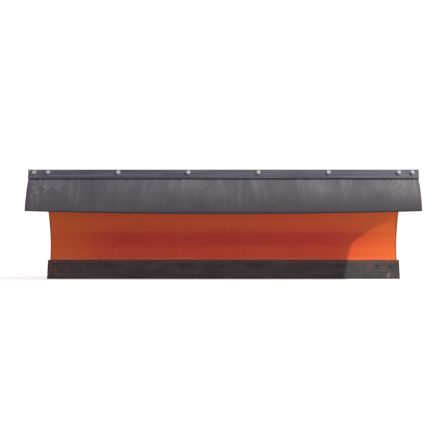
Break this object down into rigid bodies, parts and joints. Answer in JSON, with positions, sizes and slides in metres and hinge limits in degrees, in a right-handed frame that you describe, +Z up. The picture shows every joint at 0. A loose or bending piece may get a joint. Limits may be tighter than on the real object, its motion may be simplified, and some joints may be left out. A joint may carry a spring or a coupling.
{
  "type": "atv plow blade",
  "caption": "Straight snow plow blade with a curved orange moldboard, bolted wear bar, rubber snow flap, sprung trip hinge, swivel plate and height-adjustable skid shoes.",
  "frame": {"origin": "on the floor under the middle of the blade's overall box", "axes": "+X along the blade to the operator's right, -Y in the direction of ploughing, +Z up"},
  "size_m": [1.472, 0.4685, 0.4212],
  "materials": {
    "orange_paint": "satin powder coat",
    "black_paint": "satin black powder coat",
    "wear_steel": "dark hot-rolled steel, worn",
    "flap_rubber": "matte moulded rubber",
    "bar_steel": "dull grey rolled steel",
    "zinc_plate": "bright zinc plate",
    "spring_steel": "oiled spring steel",
    "skid_iron": "worn cast iron",
    "bush_bronze": "oiled bronze"
  },
  "bodies": {
    "trip_frame": {"cross_tube": "black_paint", "hinge_rod": "zinc_plate", "hinge_spacers": "zinc_plate", "hinge_nuts": "zinc_plate", "stop_bar": "black_paint", "swivel_plate_upper": "black_paint", "swivel_plate_lower": "black_paint", "spring_crossbar": "black_paint", "eye_bolt_nuts": "zinc_plate", "hinge_ear_left": "black_paint", "spring_post_left": "black_paint", "eye_bolt_left": "zinc_plate", "hinge_ear_right": "black_paint", "spring_post_right": "black_paint", "eye_bolt_right": "zinc_plate"},
    "blade": {"moldboard_skin": "orange_paint", "bottom_angle": "orange_paint", "top_angle": "orange_paint", "spring_rod": "black_paint", "wear_bar": "wear_steel", "wear_bar_bolts": "wear_steel", "wear_bar_washers": "zinc_plate", "wear_bar_nuts": "zinc_plate", "snow_flap": "flap_rubber", "flap_retaining_bar": "bar_steel", "flap_bolts": "zinc_plate", "flap_washers": "zinc_plate", "flap_nuts": "zinc_plate", "end_rib_left": "orange_paint", "outer_rib_left": "orange_paint", "pivot_rib_left": "orange_paint", "hinge_bush_left": "bush_bronze", "skid_gusset_left": "orange_paint", "skid_sleeve_left": "orange_paint", "skid_set_bolt_left": "zinc_plate", "end_rib_right": "orange_paint", "outer_rib_right": "orange_paint", "pivot_rib_right": "orange_paint", "hinge_bush_right": "bush_bronze", "skid_gusset_right": "orange_paint", "skid_sleeve_right": "orange_paint", "skid_set_bolt_right": "zinc_plate"},
    "spring_left": {"trip_spring_left": "spring_steel"},
    "spring_hook_left": {"spring_hook_left": "spring_steel"},
    "skid_left": {"skid_shoe_left": "skid_iron", "skid_post_left": "zinc_plate", "skid_lock_pin_left": "zinc_plate"},
    "spring_right": {"trip_spring_right": "spring_steel"},
    "spring_hook_right": {"spring_hook_right": "spring_steel"},
    "skid_right": {"skid_shoe_right": "skid_iron", "skid_post_right": "zinc_plate", "skid_lock_pin_right": "zinc_plate"}
  },
  "joints": [
    {"name": "trip_hinge", "type": "hinge", "parent": "trip_frame", "child": "blade", "pos_m": [0, 0.0041, 0.11], "axis": [1, 0, 0], "range_deg": [0, 35], "stiffness_Nm_per_rad": 170, "springref_deg": -20.05},
    {"name": "spring_left_swing", "type": "hinge", "parent": "trip_frame", "child": "spring_left", "pos_m": [-0.085, 0.0471, 0.194], "axis": [1, 0, 0], "range_deg": [0, 35.5]},
    {"name": "spring_left_stretch", "type": "slide", "parent": "spring_left", "child": "spring_hook_left", "axis": [0, -0.7195, 0.6945], "range_m": [0, 0.0568], "deforming": ["trip_spring_left"]},
    {"name": "spring_right_swing", "type": "hinge", "parent": "trip_frame", "child": "spring_right", "pos_m": [0.085, 0.0471, 0.194], "axis": [1, 0, 0], "range_deg": [0, 35.5]},
    {"name": "spring_right_stretch", "type": "slide", "parent": "spring_right", "child": "spring_hook_right", "axis": [0, -0.7195, 0.6945], "range_m": [0, 0.0568], "deforming": ["trip_spring_right"]},
    {"name": "skid_left_slide", "type": "slide", "parent": "blade", "child": "skid_left", "axis": [0, 0, 1], "range_m": [-0.02, 0.03]},
    {"name": "skid_right_slide", "type": "slide", "parent": "blade", "child": "skid_right", "axis": [0, 0, 1], "range_m": [-0.02, 0.03]}
  ],
  "couplings": [
    {"joint": "spring_left_swing", "follows": "trip_hinge", "ratio": 1.013},
    {"joint": "spring_left_stretch", "follows": "trip_hinge", "m_per_rad": 0.0929},
    {"joint": "spring_right_swing", "follows": "trip_hinge", "ratio": 1.013},
    {"joint": "spring_right_stretch", "follows": "trip_hinge", "m_per_rad": 0.0929}
  ]
}
